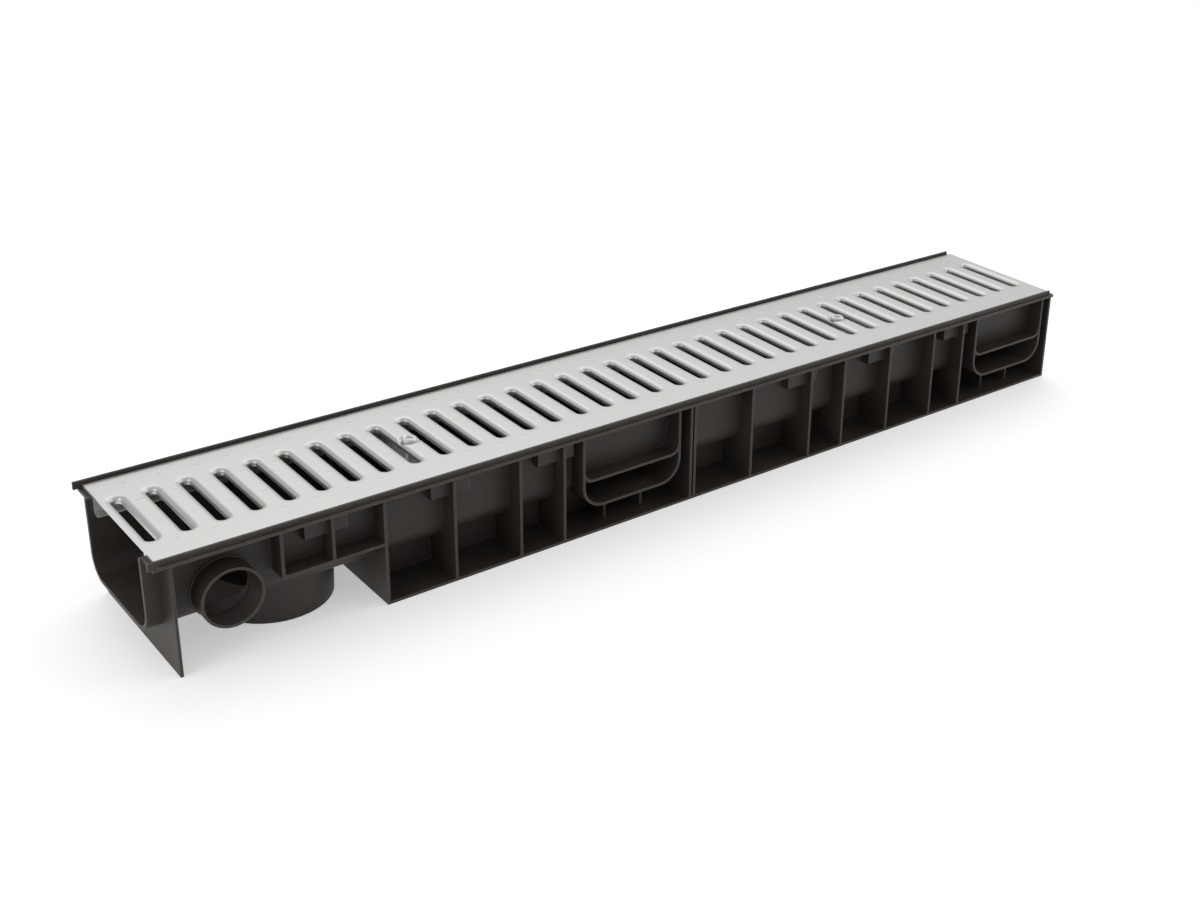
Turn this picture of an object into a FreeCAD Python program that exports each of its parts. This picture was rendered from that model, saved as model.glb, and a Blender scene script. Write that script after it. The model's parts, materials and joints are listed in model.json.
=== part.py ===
import FreeCAD, Part
import math
import os

V = FreeCAD.Vector

# Frame: X runs along the channel, Y across it, Z up.
# The origin is on the ground, under the middle of the channel.

# Moulded channel, built up from two like halves
module = 500.0
joint_setback = 2.7
rib_half_width = 75.3
wall = 3.0
rib = 2.4
plate = 2.5

# Trough that carries the water
trough_half_width = 54.5
trough_floor = 33.4
trough_corner = 17.0
trough_setback = 1.8

# Rim that holds the grating
seat_z = 97.9
seat_thickness = 2.5
upstand_inside = 76.2
upstand = 2.0
upstand_height = 5.9
upstand_setback = 7.2
rim_setback = 3.7
lip_reach = 2.0
lip_rise = 1.4
lip_thickness = 2.2
lip_corner = 8.0

# Ribs, as distances from the start of a half to the middle of the rib
full_ribs = (73.0, 147.2, 191.1, 253.9, 317.1, 361.4)
short_ribs = (104.5, 146.6)
pair_spacing = 4.5
web_half_spacing = 32.2

# Saddles for a side branch, one in each half on both sides
saddle_centre = 434.0
saddle_width = 107.0
saddle_bottom = 25.0
saddle_corner = 22.0
shelf_z = 50.9
shelf_corner = 11.0
prop_half_spacing = 20.0
prop_reach = 60.0

# Left end with its end plate, sump and side outlet
end_plate_at = 18.6
short_rib_bottom = 54.5
sump_at = 124.2
sump_radius = 49.8
sump_draft = 2.0
outlet_at = 62.6
outlet_z = 55.0
outlet_radius = 25.0
outlet_wall = 2.2
outlet_end = 79.0
outlet_shoulder = 1.0
shoulder_reach = 2.0
outlet_sill = 0.1

# Pockets in the trough walls for the locking bars
left_spare_pockets = (144.6, 357.3)
right_spare_pockets = (141.0, 357.3)
pocket_clearance = 0.6
pocket_reach = 8.0
pocket_skin = 2.5
window_bottom = 79.1
window_top = 84.0

# Grating, folded from one sheet
sheet = 1.5
slot_count = 36
slot_pitch = 27.42
slot_width = 8.6
slot_length = 78.0
slot_flare = 2.2
slot_end_flats = 8
collar_depth = 3.8
collar_wall = 1.7
collar_end_flats = 4
left_end_gap = 7.0
right_end_gap = 3.0
edge_clearance = 0.3
flange_clearance = 0.4
flange_height = 16.8
fold_lip = 8.5
fold_radius = 2.2
recess_radius = 8.3
recess_depth = 1.6

# Locking sets: screw, washer, bar and nut
lock_slots_from_middle = 9
screw_radius = 4.0
screw_length = 28.0
screw_hole_radius = 4.5
head_radius = 6.8
head_height = 2.6
socket_across = 6.0
socket_depth = 1.8
washer_radius = 7.7
washer_thickness = 1.2
washer_bore = 4.3
bar_width = 26.0
bar_sheet = 3.0
bar_overhang = 2.0
bar_clearance = 0.3
thread_clearance = 0.03
nut_across = 13.0
nut_height = 6.5

# Values worked out from the sizes above
half_length = module - joint_setback / 2
left_half = -half_length - joint_setback
right_half = left_half + module
trough_outer = trough_half_width + wall
trough_underside = trough_floor - wall
seat_under = seat_z - seat_thickness
upstand_outside = upstand_inside + upstand
lip_half_width = upstand_outside + lip_reach
lip_top = seat_z + lip_rise
grating_top = seat_z + 2 * sheet
grating_left = left_end_gap - half_length
grating_right = half_length - right_end_gap
grating_half_width = upstand_inside - edge_clearance
flange_outer = trough_half_width - flange_clearance
flange_bottom = grating_top - flange_height
lock_x = lock_slots_from_middle * slot_pitch
bar_top = window_top - bar_clearance
bar_tip_radius = trough_half_width + bar_overhang
pocket_half_width = math.sqrt(bar_tip_radius ** 2 - trough_half_width ** 2) + pocket_clearance
recess_floor = grating_top - recess_depth
screw_seat = recess_floor + washer_thickness
overlap = 0.5


def box(x0, x1, y0, y1, z0, z1):
    return Part.makeBox(x1 - x0, y1 - y0, z1 - z0, V(x0, y0, z0))


def both_sides(solid):
    """The solid and its mirror image across the channel's middle plane."""
    return [solid, solid.mirror(V(0, 0, 0), V(0, 1, 0))]


def extrude_x(wire, x0, x1):
    face = Part.Face(wire)
    face.translate(V(x0, 0, 0))
    return face.extrude(V(x1 - x0, 0, 0))


def u_outline(point, half, bottom, top, corner):
    """A closed U with round lower corners, drawn by point(across, height)."""
    bend = corner * (1 - math.sqrt(0.5))
    left_arc = Part.Arc(point(-half, bottom + corner), point(-half + bend, bottom + bend),
                        point(-half + corner, bottom))
    right_arc = Part.Arc(point(half - corner, bottom), point(half - bend, bottom + bend),
                         point(half, bottom + corner))
    edges = [
        Part.LineSegment(point(-half, top), point(-half, bottom + corner)),
        left_arc,
        Part.LineSegment(point(-half + corner, bottom), point(half - corner, bottom)),
        right_arc,
        Part.LineSegment(point(half, bottom + corner), point(half, top)),
        Part.LineSegment(point(half, top), point(-half, top)),
    ]
    return Part.Wire([edge.toShape() for edge in edges])


def trough_solid(half, bottom, corner, top, x0, x1):
    outline = u_outline(lambda y, z: V(0, y, z), half, bottom, top, corner)
    return extrude_x(outline, x0, x1)


def rim_solids():
    """Seat for the grating, the lip outside it and the thin upstand with its free left tips."""
    x0 = rim_setback - half_length
    seat = box(x0, half_length, trough_half_width, upstand_outside, seat_under, seat_z)
    upright = box(-half_length, half_length - upstand_setback, upstand_inside, upstand_outside,
                  seat_z - overlap, seat_z + upstand_height)
    lip = box(x0, half_length, -lip_half_width, lip_half_width, lip_top - lip_thickness, lip_top)
    corners = [edge for edge in lip.Edges
               if abs(edge.Vertexes[0].Z - edge.Vertexes[1].Z) > lip_thickness / 2]
    lip = lip.makeFillet(lip_corner, corners)
    inside = box(-module, module, -upstand_inside, upstand_inside, 0, lip_top + lip_rise)
    return both_sides(seat) + both_sides(upright) + [lip.cut(inside)]


def cross_rib(middle):
    """A rib across the whole channel, one plate thick."""
    return box(middle - rib / 2, middle + rib / 2, -rib_half_width, rib_half_width, 0, seat_under)


def rib_solids():
    solids = [cross_rib(right_half + offset) for offset in full_ribs]
    solids += [cross_rib(left_half + offset) for offset in full_ribs if offset > max(short_ribs) + rib]
    solids += [cross_rib(right_half), cross_rib(right_half + pair_spacing)]
    solids += [cross_rib(half_length - rib / 2), cross_rib(left_half + end_plate_at + rib / 2)]
    for offset in short_ribs:
        x = left_half + offset - rib / 2
        short = box(x, x + rib, trough_half_width, rib_half_width, short_rib_bottom, seat_under)
        solids += both_sides(short)
    return solids


def foot_solids():
    """Bottom plates outside and upright webs under the trough."""
    x0 = left_half + full_ribs[2]
    inner = web_half_spacing - rib / 2
    foot = box(x0, half_length, inner, rib_half_width, 0, plate)
    web = box(x0, half_length, inner, inner + rib, 0, trough_floor - wall / 2)
    return both_sides(foot) + both_sides(web)


def flange_by_sump():
    """Level plate that joins the short ribs beside the sump."""
    x0 = left_half + short_ribs[0] - rib / 2
    x1 = left_half + full_ribs[2]
    z0 = short_rib_bottom
    return both_sides(box(x0, x1, trough_half_width, rib_half_width, z0, z0 + plate))


def saddle_shell(centre, half, bottom, corner):
    """A thin U from under the trough to the outer face."""
    def at(across, height):
        return V(centre + across, web_half_spacing, height)
    outer = u_outline(at, half, bottom, seat_under, corner)
    inner = u_outline(at, half - rib, bottom + rib, seat_z, corner - rib)
    reach = V(0, rib_half_width - web_half_spacing, 0)
    return Part.Face(outer).extrude(reach).cut(Part.Face(inner).extrude(reach))


def saddle_solids(start):
    centre = start + saddle_centre
    half = saddle_width / 2
    solids = both_sides(saddle_shell(centre, half, saddle_bottom, saddle_corner))
    solids += both_sides(saddle_shell(centre, half, shelf_z, shelf_corner))
    for spacing in (-prop_half_spacing, prop_half_spacing):
        x = centre + spacing - rib / 2
        solids += both_sides(box(x, x + rib, web_half_spacing, prop_reach, 0, saddle_bottom + rib / 2))
    return solids


def pocket_outsides(x):
    """Blocks that hang from the seat outside both trough walls, rounded at the lower edge."""
    half = pocket_half_width + pocket_skin
    front = trough_outer + pocket_reach + pocket_skin
    bottom = window_bottom - pocket_skin
    block = box(x - half, x + half, trough_half_width, front, bottom, seat_under + overlap)
    lower = [edge for edge in block.Edges
             if edge.CenterOfMass.y > front - overlap and edge.CenterOfMass.z < window_bottom]
    return both_sides(block.makeFillet(pocket_skin, lower))


def pocket_hollows(x):
    """Windows through both trough walls and the hollows behind them."""
    x0 = x - pocket_half_width
    x1 = x + pocket_half_width
    window = box(x0, x1, trough_half_width - overlap, trough_outer + overlap, window_bottom, window_top)
    hollow = box(x0, x1, trough_outer, trough_outer + pocket_reach, window_bottom, seat_under)
    return both_sides(window) + both_sides(hollow)


def upright_cylinder(x, radius, z0, z1):
    return Part.makeCylinder(radius, z1 - z0, V(x, 0, z0))


def outlet_cylinder(radius, start, end):
    """A level round form on the side outlet's axis, between two distances from the middle plane."""
    return Part.makeCylinder(radius, start - end, V(left_half + outlet_at, -start, outlet_z), V(0, 1, 0))


def sump_cone(x, base, inset):
    """The sump's round form, wider at the top, from a level up to the round of the trough."""
    top = trough_floor + trough_corner
    spread = sump_draft * base / top
    return Part.makeCone(sump_radius + spread - inset, sump_radius + sump_draft - inset, top - base,
                         V(x, 0, base))


def channel_body():
    """The moulded trough with its rim, ribs, saddles, sump and outlet."""
    sump_x = left_half + sump_at
    outlet_inner_end = trough_half_width - trough_corner
    outlet_opening = outlet_z - trough_floor - outlet_sill
    pockets = [-lock_x, lock_x]
    pockets += [left_half + offset for offset in left_spare_pockets]
    pockets += [right_half + offset for offset in right_spare_pockets]

    shell = trough_solid(trough_outer, trough_underside, trough_corner + wall, seat_z,
                         trough_setback - half_length, half_length)
    solids = rim_solids() + rib_solids() + foot_solids() + flange_by_sump()
    solids += saddle_solids(left_half) + saddle_solids(right_half)
    for x in pockets:
        solids += pocket_outsides(x)
    solids.append(sump_cone(sump_x, 0, 0))
    solids.append(outlet_cylinder(outlet_radius, outlet_end, outlet_inner_end))
    solids.append(outlet_cylinder(outlet_radius + outlet_shoulder, trough_outer + shoulder_reach,
                                  outlet_inner_end))
    shell = shell.fuse(solids)

    hollow = trough_solid(trough_half_width, trough_floor, trough_corner, seat_z + upstand_height,
                          -module, half_length - rib)
    cuts = [hollow, sump_cone(sump_x, wall, wall)]
    cuts.append(outlet_cylinder(outlet_radius - outlet_wall, outlet_end, trough_outer))
    cuts.append(outlet_cylinder(outlet_opening, outlet_end, outlet_inner_end))
    for x in pockets:
        cuts += pocket_hollows(x)
    return shell.cut(cuts).removeSplitter()


def slot_outline(x, grow, flats, z):
    """A slot with round ends across the grating, grown all round, each end in some flats."""
    radius = slot_width / 2 + grow
    reach = (slot_length - slot_width) / 2
    corners = []
    for end in (1, -1):
        for step in range(flats + 1):
            angle = math.pi * step / flats
            across = radius * math.cos(angle)
            along = reach + radius * math.sin(angle)
            corners.append(V(x + end * across, end * along, z))
    return Part.makePolygon(corners + corners[:1])


def slot_prism(x, grow, flats, z0, z1):
    return Part.Face(slot_outline(x, grow, flats, z0)).extrude(V(0, 0, z1 - z0))


def slot_mouth(x):
    """The flared mouth that the pressed edge leaves round the top of a slot."""
    return Part.makeLoft([
        slot_outline(x, 0, slot_end_flats, grating_top - slot_flare),
        slot_outline(x, slot_flare, slot_end_flats, grating_top),
    ], True, True)


def grating_side():
    """The doubled margin, the downward flange and its inward lip, on the +Y side."""
    inner = flange_outer - sheet
    lip_end = flange_outer - fold_lip
    level = grating_top - sheet / 2
    bend = fold_radius * (1 - math.sqrt(0.5))

    def at(y, z):
        return V(0, y, z)

    edges = [
        Part.LineSegment(at(inner, level), at(grating_half_width, level)),
        Part.LineSegment(at(grating_half_width, level), at(grating_half_width, seat_z)),
        Part.LineSegment(at(grating_half_width, seat_z), at(flange_outer, seat_z)),
        Part.LineSegment(at(flange_outer, seat_z), at(flange_outer, flange_bottom + fold_radius)),
        Part.Arc(at(flange_outer, flange_bottom + fold_radius),
                 at(flange_outer - bend, flange_bottom + bend),
                 at(flange_outer - fold_radius, flange_bottom)),
        Part.LineSegment(at(flange_outer - fold_radius, flange_bottom), at(lip_end, flange_bottom)),
        Part.LineSegment(at(lip_end, flange_bottom), at(lip_end, flange_bottom + sheet)),
        Part.LineSegment(at(lip_end, flange_bottom + sheet), at(inner, flange_bottom + sheet)),
        Part.LineSegment(at(inner, flange_bottom + sheet), at(inner, level)),
    ]
    outline = Part.Wire([edge.toShape() for edge in edges])
    return extrude_x(outline, grating_left, grating_right)


def grating():
    """The slotted sheet with folded sides and two recesses for the screws."""
    top = box(grating_left, grating_right, -grating_half_width, grating_half_width,
              grating_top - sheet, grating_top)
    added = both_sides(grating_side())
    cuts = []
    for index in range(slot_count):
        x = (index - (slot_count - 1) / 2) * slot_pitch
        added.append(slot_prism(x, collar_wall, collar_end_flats, grating_top - collar_depth,
                                grating_top - sheet / 2))
        cuts.append(slot_prism(x, 0, slot_end_flats, grating_top - collar_depth - overlap, grating_top))
        cuts.append(slot_mouth(x))
    for x in (-lock_x, lock_x):
        added.append(upright_cylinder(x, recess_radius + sheet, recess_floor - sheet,
                                      grating_top - sheet / 2))
        cuts.append(upright_cylinder(x, recess_radius, recess_floor, grating_top + overlap))
        cuts.append(upright_cylinder(x, screw_hole_radius, flange_bottom, grating_top))
    return top.fuse(added).cut(cuts).removeSplitter()


def hex_prism(x, across, z0, height):
    radius = across / math.sqrt(3)
    corners = [V(x + radius * math.cos(k * math.pi / 3), radius * math.sin(k * math.pi / 3), z0)
               for k in range(6)]
    return Part.Face(Part.makePolygon(corners + corners[:1])).extrude(V(0, 0, height))


def lock_washer(x):
    return upright_cylinder(x, washer_radius, recess_floor, screw_seat).cut(
        upright_cylinder(x, washer_bore, seat_z, screw_seat + overlap))


def lock_screw(x):
    """Screw with a low round head and a six-sided socket."""
    head = upright_cylinder(x, head_radius, screw_seat, screw_seat + head_height)
    shank = upright_cylinder(x, screw_radius, screw_seat - screw_length, screw_seat + overlap)
    socket = hex_prism(x, socket_across, screw_seat + head_height - socket_depth, head_height)
    return head.fuse(shank).cut(socket)


def lock_bar(x):
    """Flat bar across the trough, with round tips that turn into the pockets."""
    side = bar_width / 2
    blank = box(x - side, x + side, -bar_tip_radius, bar_tip_radius, bar_top - bar_sheet, bar_top)
    tips = upright_cylinder(x, bar_tip_radius, 0, grating_top)
    bore = upright_cylinder(x, screw_radius + thread_clearance, 0, grating_top)
    return blank.common(tips).cut(bore)


def lock_nut(x):
    seat = bar_top - bar_sheet
    blank = hex_prism(x, nut_across, seat - nut_height, nut_height)
    return blank.cut(upright_cylinder(x, screw_radius + thread_clearance, 0, bar_top))


def main():
    nodes = {"channel_body": channel_body(), "grating": grating()}
    for name, x in (("left", -lock_x), ("right", lock_x)):
        nodes["lock_screw_" + name] = lock_screw(x)
        nodes["lock_washer_" + name] = lock_washer(x)
        nodes["lock_bar_" + name] = lock_bar(x)
        nodes["lock_nut_" + name] = lock_nut(x)
    os.makedirs("parts", exist_ok=True)
    for name, shape in nodes.items():
        solids = shape.Solids
        print(name, "solids", len(solids), "valid", shape.isValid(), "volume", round(shape.Volume, 1),
              "faces", len(shape.Faces))
        whole = solids[0] if len(solids) == 1 else shape
        whole.exportStep("parts/" + name + ".step")


main()
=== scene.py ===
import json
import math

import bmesh
import bpy
from mathutils import Matrix, Vector


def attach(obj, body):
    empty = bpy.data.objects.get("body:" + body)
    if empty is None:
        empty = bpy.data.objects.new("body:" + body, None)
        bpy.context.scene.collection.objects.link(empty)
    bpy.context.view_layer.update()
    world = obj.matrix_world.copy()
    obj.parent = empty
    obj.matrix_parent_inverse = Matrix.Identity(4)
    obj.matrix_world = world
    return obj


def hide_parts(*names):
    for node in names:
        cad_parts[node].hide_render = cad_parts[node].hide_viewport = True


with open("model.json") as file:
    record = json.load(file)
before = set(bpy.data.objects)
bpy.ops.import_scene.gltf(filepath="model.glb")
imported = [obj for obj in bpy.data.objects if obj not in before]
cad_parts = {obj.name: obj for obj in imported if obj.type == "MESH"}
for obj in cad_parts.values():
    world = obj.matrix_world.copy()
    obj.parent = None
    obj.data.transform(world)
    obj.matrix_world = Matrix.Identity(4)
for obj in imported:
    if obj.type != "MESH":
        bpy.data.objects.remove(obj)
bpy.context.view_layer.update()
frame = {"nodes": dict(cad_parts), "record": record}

# Camera of the photograph: place in metres, angles in degrees, the rest in pixels
photo_width = 1200
photo_height = 900
camera_place = (-0.82165, -1.0965, 0.7017)
camera_heading = 41.05
camera_pitch = 22.46
camera_roll = 2.543
focal_pixels = 1588.95
principal_point = (752.88, 342.09)
sensor_width = 36.0

# Light: each lamp's place, aim and size in metres, and its watts
world_strength = 0.52
lamps = {
    "right": ((3.6, -1.7, 1.6), (0, 0, 0.05), (2.4, 2.0), 28),
    "top": ((0.9, 1.3, 2.0), (0, 0, 0.05), (3.2, 2.2), 19),
    "left": ((-2.2, -0.2, 0.9), (-0.2, 0, 0.08), (1.4, 1.0), 9),
}
floor_half = 6.0
floor_shade = 0.86
floor_roughness = 0.9
floor_glow = 0.42

# Colours, from the darkest to the lightest of each material
plastic_dark = (0.031, 0.0255, 0.0217)
plastic_pale = (0.051, 0.0416, 0.0352)
# Painted highlight colour, laid along the plastic's sharp edges
plastic_edge_highlight = (0.125, 0.112, 0.101)
zinc_dark = (0.60, 0.60, 0.575)
zinc_pale = (0.69, 0.69, 0.665)
plated_dark = (0.62, 0.62, 0.61)
plated_pale = (0.80, 0.80, 0.79)
noise_roughness = 0.55
# Width of the painted edge highlight, in metres
edge_highlight_width = 0.0012

# Grating, in millimetres, in the CAD frame
grating_x0 = -491.65
grating_x1 = 495.65
grating_top = 100.9
grating_half = 75.9
seat_level = 97.9
sheet = 1.5
flange_outer = 54.1
flange_bottom = 84.1
flange_bend = 1.5
fold_lip = 8.5
fold_radius = 2.2
lip_bend = 0.7
hem_radius = 1.3
fold_steps = 6
margin_lines = (60, 70)
field_half = flange_outer - sheet

# Slots: a rolled shoulder leads down into a collar
slot_count = 36
slot_pitch = 27.42
slot_radius = 4.3
slot_reach = 35.2
end_rise = field_half - slot_reach
shoulder_reach = 5.0
shoulder_drop = 3.2
round_steps = 9
collar_depth = 5.9
collar_wall = 1.7
collar_round = 0.2
end_steps = 10
corner_steps = 5
plain_rows = 2

# The sheet is pressed down round each screw, and its mesh is finer there
screw_x = 246.78
screw_hole_radius = 4.5
hole_points = 64
hole_span = (90, 110)
recess_depth = 1.6
recess_inner = 8.0
recess_outer = 9.6
screw_rows = 9
screw_zone = 0.6
fine_start = -11
fine_step = 0.88
fine_count = 26
coarse_stations = [16, 24]

# Small raised studs pressed into the bars, and where they sit along a bar
stud_rows = (57.3, 24.8, -16.6, -50.2)
stud_shift = 1.6
stud_radius = 2.6
stud_height = 0.24
stud_sink = 0.05
stud_points = 16
stud_steps = 4
stud_side_power = 0.7
stud_rise_power = 1.3
stud_sharp_angle = 60

# Locking screws, in millimetres
screw_seat = 100.5
screw_end = 72.5
shank_radius = 4.0
thread_pitch = 1.25
thread_depth = 0.7
rows_per_turn = 6
plain_neck = 4
neck_fade = 1.5
tip_fade = 1.2
tip_share = 0.25
tip_length = 0.9
tip_inset = 0.8
turn_points = 48

# Radius and rise above the seat, from the head's foot over its rim into the dish
head_profile = ((6.3, 0), (6.65, 0.1), (6.8, 0.35), (6.8, 1.15), (6.65, 1.5), (5.9, 2.25),
                (5.5, 2.5), (5.1, 2.6), (4.8, 2.55), (4.55, 2.35), (4.3, 1.95))
# Width across the flats and rise above the seat, from the dish to the socket's floor
socket_profile = ((6.2, 1.85), (6.0, 1.7), (6.0, 0.8))

# Mesh: angle in degrees, weld distance in metres, the rest in millimetres
sharp_angle = 32
weld_distance = 2e-6
same_place = 1e-6
tiny = 1e-9


def node_input(node, name, value):
    node.inputs[name].default_value = value


def clamp(value):
    return min(max(value, 0), 1)


class Shader:
    """A small helper that adds and links nodes in one material."""

    def __init__(self, name):
        self.material = bpy.data.materials.new(name)
        self.material.use_nodes = True
        self.tree = self.material.node_tree
        self.bsdf = self.tree.nodes["Principled BSDF"]
        self.place = self.add("ShaderNodeTexCoord").outputs["Object"]

    def add(self, kind, **settings):
        node = self.tree.nodes.new(kind)
        for key, value in settings.items():
            setattr(node, key, value)
        return node

    def link(self, output, target):
        self.tree.links.new(output, target)

    def noise(self, scale, detail=3.0):
        node = self.add("ShaderNodeTexNoise")
        node_input(node, "Scale", scale)
        node_input(node, "Detail", detail)
        node_input(node, "Roughness", noise_roughness)
        self.link(self.place, node.inputs["Vector"])
        return node.outputs["Fac"]

    def crystals(self, scale):
        node = self.add("ShaderNodeTexVoronoi")
        node_input(node, "Scale", scale)
        self.link(self.place, node.inputs["Vector"])
        return node.outputs["Color"]

    def spread(self, value, low, high, out_low=0.0, out_high=1.0):
        node = self.add("ShaderNodeMapRange")
        self.link(value, node.inputs["Value"])
        node_input(node, "From Min", low)
        node_input(node, "From Max", high)
        node_input(node, "To Min", out_low)
        node_input(node, "To Max", out_high)
        return node.outputs["Result"]

    def maths(self, operation, first, second):
        node = self.add("ShaderNodeMath", operation=operation)
        for socket, value in zip(node.inputs, (first, second)):
            if isinstance(value, (int, float)):
                socket.default_value = value
            else:
                self.link(value, socket)
        return node.outputs["Value"]

    def blend(self, factor, first, second):
        node = self.add("ShaderNodeMix", data_type="RGBA")
        self.link(factor, node.inputs["Factor"])
        for name, value in (("A", first), ("B", second)):
            socket = [s for s in node.inputs if s.name == name and s.type == "RGBA"][0]
            if isinstance(value, tuple):
                socket.default_value = (*value, 1.0)
            else:
                self.link(value, socket)
        return [s for s in node.outputs if s.type == "RGBA"][0]

    def edges(self, radius):
        """1 near a sharp edge and 0 on open faces."""
        bevel = self.add("ShaderNodeBevel", samples=4)
        node_input(bevel, "Radius", radius)
        geometry = self.add("ShaderNodeNewGeometry")
        dot = self.add("ShaderNodeVectorMath", operation="DOT_PRODUCT")
        self.link(bevel.outputs["Normal"], dot.inputs[0])
        self.link(geometry.outputs["Normal"], dot.inputs[1])
        return self.spread(dot.outputs["Value"], 1.0, 0.9)

    def bump(self, height, strength, distance, below=None):
        node = self.add("ShaderNodeBump")
        node_input(node, "Strength", strength)
        node_input(node, "Distance", distance)
        self.link(height, node.inputs["Height"])
        if below:
            self.link(below, node.inputs["Normal"])
        return node.outputs["Normal"]

    def finish(self, colour, roughness, normal, metallic=0.0, gloss=0.5):
        self.link(colour, self.bsdf.inputs["Base Color"])
        self.link(roughness, self.bsdf.inputs["Roughness"])
        self.link(normal, self.bsdf.inputs["Normal"])
        node_input(self.bsdf, "Metallic", metallic)
        node_input(self.bsdf, "Specular IOR Level", gloss)
        return self.material


def body_plastic():
    """Black moulded plastic with a fine grain, and a painted highlight that makes it lighter
    along its edges.
    """
    s = Shader("body_plastic")
    cloudy = s.noise(14.0, 4.0)
    base = s.blend(s.spread(cloudy, 0.35, 0.65), plastic_dark, plastic_pale)
    # Painted highlight: the plastic turns lighter along its sharp edges, broken up by noise
    highlight_breakup = s.spread(s.noise(120.0), 0.3, 0.6, 0.25, 1.0)
    edge_highlight = s.maths("MULTIPLY", s.edges(edge_highlight_width), highlight_breakup)
    colour = s.blend(edge_highlight, base, plastic_edge_highlight)
    waves = s.bump(s.noise(60.0), strength=0.15, distance=0.002)
    normal = s.bump(s.noise(1800.0, 2.0), strength=0.25, distance=0.0003, below=waves)
    roughness = s.spread(cloudy, 0.3, 0.7, 0.42, 0.58)
    return s.finish(colour, roughness, normal, gloss=0.36)


def galvanised_steel():
    """Hot-dip zinc: pale, slightly mottled, with faint crystals."""
    s = Shader("galvanised_steel")
    mottle = s.noise(45.0, 5.0)
    shade = s.maths("ADD", s.spread(s.crystals(150.0), 0.0, 1.0, -0.1, 0.1), mottle)
    colour = s.blend(s.spread(shade, 0.35, 0.65), zinc_dark, zinc_pale)
    waves = s.bump(mottle, strength=0.05, distance=0.0004)
    normal = s.bump(s.noise(1400.0), strength=0.08, distance=0.0001, below=waves)
    roughness = s.spread(shade, 0.3, 0.7, 0.46, 0.58)
    return s.finish(colour, roughness, normal, metallic=0.08, gloss=0.3)


def plated_steel():
    """Bright plated fasteners with a fine grain."""
    s = Shader("plated_steel")
    fine = s.noise(700.0)
    colour = s.blend(fine, plated_dark, plated_pale)
    roughness = s.spread(fine, 0.3, 0.7, 0.25, 0.4)
    normal = s.bump(fine, strength=0.1, distance=0.0002)
    return s.finish(colour, roughness, normal, metallic=0.9)


def dress_nodes():
    """Gives every CAD piece the material that its slot names."""
    finishes = {
        "body_plastic": body_plastic(),
        "galvanised_steel": galvanised_steel(),
        "plated_steel": plated_steel(),
    }
    for part in frame["record"]["subparts"]:
        obj = frame["nodes"][part["node"]]
        obj.data.materials.clear()
        obj.data.materials.append(finishes[part["material_slot"]])


class Surface:
    """Points and faces of one piece, gathered in millimetres."""

    def __init__(self):
        self.points = []
        self.faces = []

    def ring(self, points):
        first = len(self.points)
        self.points.extend(points)
        return range(first, len(self.points))

    def bridge(self, one, two, closed=True):
        count = len(one)
        for i in range(count if closed else count - 1):
            j = (i + 1) % count
            self.faces.append((one[i], one[j], two[j], two[i]))

    def loft(self, rings, closed=True):
        made = [self.ring(points) for points in rings]
        for one, two in zip(made, made[1:]):
            self.bridge(one, two, closed)
        return made

    def build(self, name, sharp=sharp_angle):
        mesh = bpy.data.meshes.new(name)
        metres = [[c / 1000 for c in point] for point in self.points]
        mesh.from_pydata(metres, [], self.faces)
        bm = bmesh.new()
        bm.from_mesh(mesh)
        bmesh.ops.remove_doubles(bm, verts=bm.verts, dist=weld_distance)
        bmesh.ops.recalc_face_normals(bm, faces=bm.faces)
        bm.to_mesh(mesh)
        bm.free()
        mesh.shade_smooth()
        mesh.set_sharp_from_angle(angle=math.radians(sharp))
        piece = bpy.data.objects.new(name, mesh)
        bpy.context.collection.objects.link(piece)
        return piece


def circle(x, y, radius, z, count):
    points = []
    for t in range(count):
        angle = 2 * math.pi * t / count
        points.append((x + radius * math.cos(angle), y + radius * math.sin(angle), z))
    return points


def dip(x, y):
    """How far the sheet is pressed down round a screw."""
    depth = 0.0
    for centre in (-screw_x, screw_x):
        away = math.hypot(x - centre, y)
        part = clamp((recess_outer - away) / (recess_outer - recess_inner))
        depth += recess_depth * part * part * (3 - 2 * part)
    return depth


def slot_stations():
    """Where the points lie along a slot's straight sides, close together beside the screws."""
    fine = [fine_start + fine_step * i for i in range(fine_count)]
    coarse = coarse_stations + [slot_reach]
    return [-y for y in reversed(coarse)] + fine + coarse


def slot_angles(half_left, half_right):
    """Angles round a slot's end, among them the two that point at the cell's corners."""
    right = math.atan2(end_rise, half_right)
    left = math.pi - math.atan2(end_rise, half_left)
    turn = [right * i / corner_steps for i in range(corner_steps)]
    turn += [right + (left - right) * i / end_steps for i in range(end_steps)]
    rest = math.pi - left
    return turn + [left + rest * i / corner_steps for i in range(corner_steps + 1)]


def closed_line(right, left, ends, z):
    """Joins two straight sides and two mirrored ends, on the pressed sheet."""
    along = slot_stations()
    points = [(right, y) for y in along] + ends
    points += [(left, y) for y in reversed(along)]
    points += [(px, -py) for px, py in reversed(ends)]
    return [(px, py, z - dip(px, py)) for px, py in points]


def slot_ring(x, radius, angles, z):
    """One closed line round a slot at a given distance from its middle line."""
    ends = [(x + radius * math.cos(a), slot_reach + radius * math.sin(a))
            for a in angles[1:-1]]
    return closed_line(x + radius, x - radius, ends, z)


def cell_ring(x, half_left, half_right, angles, z):
    """The border of a slot's cell, point for point with slot_ring."""
    ends = []
    for angle in angles[1:-1]:
        sine, cosine = math.sin(angle), math.cos(angle)
        side = half_right if cosine > 0 else half_left
        scale = min(side / max(abs(cosine), tiny), end_rise / max(sine, tiny))
        ends.append((x + scale * cosine, slot_reach + scale * sine))
    return closed_line(x + half_right, x - half_left, ends, z)


def between(outer, inner, part, z):
    """Points part of the way from one line to another, on the pressed sheet."""
    rows = []
    for (x0, y0, _), (x1, y1, _) in zip(outer, inner):
        x = x0 + (x1 - x0) * part
        y = y0 + (y1 - y0) * part
        rows.append((x, y, z - dip(x, y)))
    return rows


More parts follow.
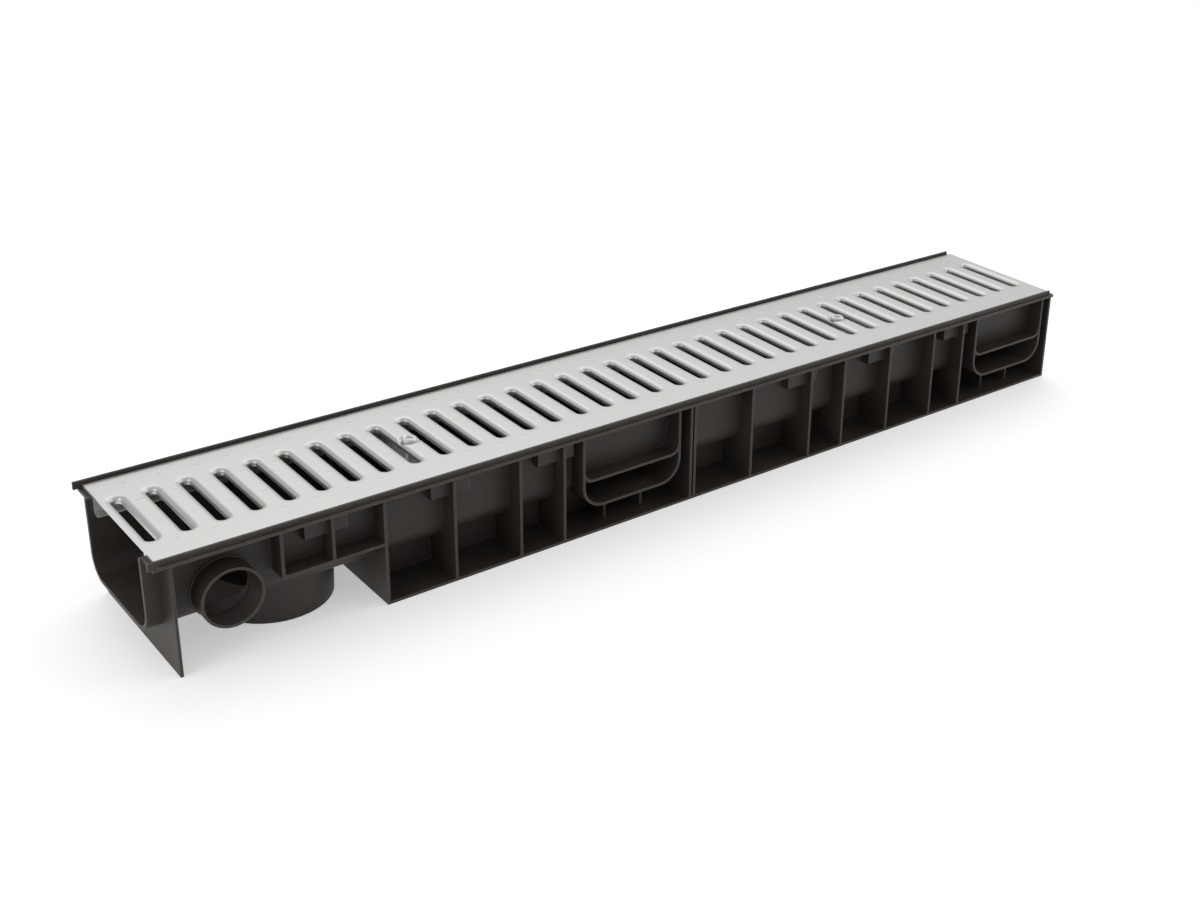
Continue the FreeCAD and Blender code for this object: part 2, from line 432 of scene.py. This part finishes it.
def add_cell(surface, x, half_left, half_right, steps):
    """The sheet round one slot: top, rolled shoulder, collar and underside.

    Gives back where its border's points lie along the sides of the field.
    """
    angles = slot_angles(half_left, half_right)
    under = grating_top - sheet
    foot = grating_top - collar_depth
    outer = slot_radius + collar_wall
    border = cell_ring(x, half_left, half_right, angles, grating_top)
    mouth = slot_ring(x, slot_radius + shoulder_reach, angles, grating_top)
    rings = [between(border, mouth, i / steps, grating_top) for i in range(steps)]
    for i in range(round_steps + 1):
        a = math.pi / 2 * i / round_steps
        radius = slot_radius + shoulder_reach * (1 - math.sin(a))
        level = grating_top - shoulder_drop * (1 - math.cos(a))
        rings.append(slot_ring(x, radius, angles, level))
    rings.append(slot_ring(x, slot_radius, angles, foot + collar_round))
    rings.append(slot_ring(x, slot_radius + collar_round, angles, foot))
    rings.append(slot_ring(x, outer - collar_round, angles, foot))
    rings.append(slot_ring(x, outer, angles, foot + collar_round))
    collar = slot_ring(x, outer, angles, under)
    rings += [between(collar, border, i / steps, under) for i in range(steps + 1)]
    surface.loft(rings)
    return [point[0] for point in border if abs(point[1] - field_half) < same_place]


def arc(y, z, radius, start, end):
    rows = []
    for i in range(fold_steps + 1):
        a = math.radians(start + (end - start) * i / fold_steps)
        rows.append((y + radius * math.cos(a), z + radius * math.sin(a)))
    return rows


def side_profile():
    """The margin, its flange and the flange's lip, from the field's top to its underside."""
    inner_lip = flange_outer - fold_lip
    lip_top = flange_bottom + sheet
    points = [(field_half, grating_top)] + [(y, grating_top) for y in margin_lines]
    points += arc(grating_half - hem_radius, grating_top - hem_radius, hem_radius, 90, 0)
    points += arc(grating_half - hem_radius, seat_level + hem_radius, hem_radius, 0, -90)
    points += [(flange_outer + flange_bend, seat_level), (flange_outer, seat_level - flange_bend)]
    points += arc(flange_outer - fold_radius, flange_bottom + fold_radius, fold_radius, 0, -90)
    points += [(inner_lip, flange_bottom), (inner_lip, lip_top)]
    points += [(field_half - lip_bend, lip_top), (field_half, lip_top + lip_bend)]
    points += [(field_half, grating_top - sheet)]
    return points


def add_sides(surface, stations):
    """Both folded sides, and the cut face of the whole section at each end."""
    profile = side_profile()
    for side in (1, -1):
        rows = [[(x, side * y, z) for y, z in profile] for x in stations]
        surface.loft(rows, closed=False)
    for x in (stations[0], stations[-1]):
        outline = [(x, y, z) for y, z in profile]
        outline += [(x, -y, z) for y, z in reversed(profile)]
        surface.faces.append(tuple(surface.ring(outline)))


def add_stud(surface, x, y):
    """A low round stud standing on the top of a bar."""
    rows = []
    for step in range(stud_steps):
        a = math.pi / 2 * step / stud_steps
        radius = stud_radius * math.cos(a) ** stud_side_power
        z = grating_top - stud_sink + stud_height * math.sin(a) ** stud_rise_power
        rows.append(circle(x, y, radius, z, stud_points))
    made = surface.loft(rows)
    surface.faces.append(tuple(made[-1]))


def drill(piece, places, radius):
    """Cuts upright round holes through a piece."""
    for x in places:
        cutter = Surface()
        made = cutter.loft([circle(x, 0, radius, z, hole_points) for z in hole_span])
        cutter.faces += [tuple(ring) for ring in made]
        tool = cutter.build("hole_cutter")
        cut = piece.modifiers.new("hole", "BOOLEAN")
        cut.object = tool
        cut.solver = "EXACT"
        graph = bpy.context.evaluated_depsgraph_get()
        drilled = bpy.data.meshes.new_from_object(piece.evaluated_get(graph))
        piece.modifiers.clear()
        piece.data = drilled
        bpy.data.objects.remove(tool)


def make_grating():
    """The slotted sheet with its folded sides, and the studs on its bars."""
    sheet_surface = Surface()
    stations = set()
    last = slot_count - 1
    for index in range(slot_count):
        x = (index - last / 2) * slot_pitch
        left = x - grating_x0 if index == 0 else slot_pitch / 2
        right = grating_x1 - x if index == last else slot_pitch / 2
        near_screw = abs(abs(x) - screw_x) < slot_pitch * screw_zone
        rows = screw_rows if near_screw else plain_rows
        found = add_cell(sheet_surface, x, left, right, rows)
        stations.update(round(value, 4) for value in found)
    add_sides(sheet_surface, sorted(stations))
    grating = sheet_surface.build("slotted_grating")
    drill(grating, (-screw_x, screw_x), screw_hole_radius)

    studs = Surface()
    for index in range(1, slot_count):
        x = (index - slot_count / 2) * slot_pitch + stud_shift
        by_screw = abs(abs(x) - screw_x) < slot_pitch / 2
        for y in stud_rows:
            if by_screw and abs(y) < slot_reach:
                continue
            add_stud(studs, x, y)
    marks = studs.build("grating_studs", stud_sharp_angle)
    marks.data.materials.append(bpy.data.materials["galvanised_steel"])
    grating.data.materials.clear()
    grating.data.materials.append(bpy.data.materials["galvanised_steel"])
    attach(grating, "channel")
    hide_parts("grating")
    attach(marks, "channel")


def hexagon(x, across, z):
    """A six-sided line with as many points as a screw's circles have."""
    points = []
    for t in range(turn_points):
        angle = 2 * math.pi * t / turn_points
        off = (angle + math.pi / 6) % (math.pi / 3) - math.pi / 6
        radius = across / 2 / math.cos(off)
        points.append((x + radius * math.cos(angle), radius * math.sin(angle), z))
    return points


def thread_ring(x, z):
    """The shank's outline at one level, with the thread's crest on its way round."""
    fade = clamp((screw_seat - plain_neck - z) / neck_fade)
    fade *= clamp((z - screw_end) / tip_fade + tip_share)
    points = []
    for t in range(turn_points):
        angle = 2 * math.pi * t / turn_points
        phase = (z / thread_pitch - t / turn_points) % 1
        crest = abs(2 * phase - 1)
        radius = shank_radius - thread_depth * (1 - crest) * fade
        if z < screw_end + tip_length:
            radius -= tip_inset * (screw_end + tip_length - z) / tip_length
        points.append((x + radius * math.cos(angle), radius * math.sin(angle), z))
    return points


def make_screw(side, x):
    """Low round head with a dished top and a six-sided socket, and a threaded shank."""
    surface = Surface()
    length = screw_seat - screw_end
    steps = int(length / (thread_pitch / rows_per_turn))
    rings = [thread_ring(x, screw_end + length * i / steps) for i in range(steps + 1)]
    rings += [circle(x, 0, radius, screw_seat + rise, turn_points)
              for radius, rise in head_profile]
    rings += [hexagon(x, across, screw_seat + rise) for across, rise in socket_profile]
    made = surface.loft(rings)
    surface.faces += [tuple(made[0]), tuple(made[-1])]
    screw = surface.build("socket_screw_" + side)
    screw.data.materials.append(bpy.data.materials["plated_steel"])
    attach(screw, "lock_" + side)
    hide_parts("lock_screw_" + side)


def seen_directly(s):
    """1 for what the camera sees, straight, mirrored or through glass."""
    path = s.add("ShaderNodeLightPath")
    mirrored = s.maths("MAXIMUM", path.outputs["Is Glossy Ray"],
                       path.outputs["Is Transmission Ray"])
    return s.maths("MAXIMUM", path.outputs["Is Camera Ray"], mirrored)


def make_floor():
    mesh = bpy.data.meshes.new("floor")
    signs = ((-1, -1), (1, -1), (1, 1), (-1, 1))
    corners = [(floor_half * i, floor_half * j, 0) for i, j in signs]
    mesh.from_pydata(corners, [], [(0, 1, 2, 3)])
    floor = bpy.data.objects.new("floor", mesh)
    bpy.context.collection.objects.link(floor)
    s = Shader("floor_white")
    node_input(s.bsdf, "Base Color", (floor_shade, floor_shade, floor_shade, 1))
    node_input(s.bsdf, "Roughness", floor_roughness)
    node_input(s.bsdf, "Emission Color", (1, 1, 1, 1))
    glow = s.maths("MULTIPLY", seen_directly(s), floor_glow)
    s.link(glow, s.bsdf.inputs["Emission Strength"])
    mesh.materials.append(s.material)


def make_world():
    """A white surround: full strength where it is seen, less as light."""
    world = bpy.data.worlds.new("studio")
    bpy.context.scene.world = world
    world.use_nodes = True
    tree = world.node_tree
    background = tree.nodes["Background"]
    node_input(background, "Color", (1, 1, 1, 1))
    path = tree.nodes.new("ShaderNodeLightPath")
    strength = tree.nodes.new("ShaderNodeMapRange")
    node_input(strength, "To Min", world_strength)
    node_input(strength, "To Max", 1.0)
    largest = tree.nodes.new("ShaderNodeMath")
    largest.operation = "MAXIMUM"
    tree.links.new(path.outputs["Is Camera Ray"], largest.inputs[0])
    tree.links.new(path.outputs["Is Transmission Ray"], largest.inputs[1])
    tree.links.new(largest.outputs["Value"], strength.inputs["Value"])
    tree.links.new(strength.outputs["Result"], background.inputs["Strength"])


def area_lamp(name, place, aim, size, watts):
    data = bpy.data.lights.new(name, "AREA")
    data.shape = "RECTANGLE"
    data.size, data.size_y = size
    data.energy = watts
    lamp = bpy.data.objects.new(name, data)
    bpy.context.collection.objects.link(lamp)
    lamp.location = place
    towards = Vector(aim) - Vector(place)
    lamp.rotation_euler = towards.to_track_quat("-Z", "Y").to_euler()


def make_camera():
    data = bpy.data.cameras.new("photo_camera")
    data.sensor_width = sensor_width
    data.lens = sensor_width * focal_pixels / photo_width
    data.shift_x = (photo_width / 2 - principal_point[0]) / photo_width
    data.shift_y = (principal_point[1] - photo_height / 2) / photo_width
    camera = bpy.data.objects.new("photo_camera", data)
    bpy.context.collection.objects.link(camera)
    turn = Matrix.Rotation(math.radians(-camera_heading), 4, "Z")
    tilt = Matrix.Rotation(math.radians(90 - camera_pitch), 4, "X")
    roll = Matrix.Rotation(math.radians(camera_roll), 4, "Z")
    camera.matrix_world = Matrix.Translation(camera_place) @ turn @ tilt @ roll
    bpy.context.scene.camera = camera


make_camera()
make_world()
for lamp_name, settings in lamps.items():
    area_lamp(lamp_name, *settings)
make_floor()
dress_nodes()
make_grating()
make_screw("left", -screw_x)
make_screw("right", screw_x)
bpy.context.scene.view_settings.view_transform = "Standard"
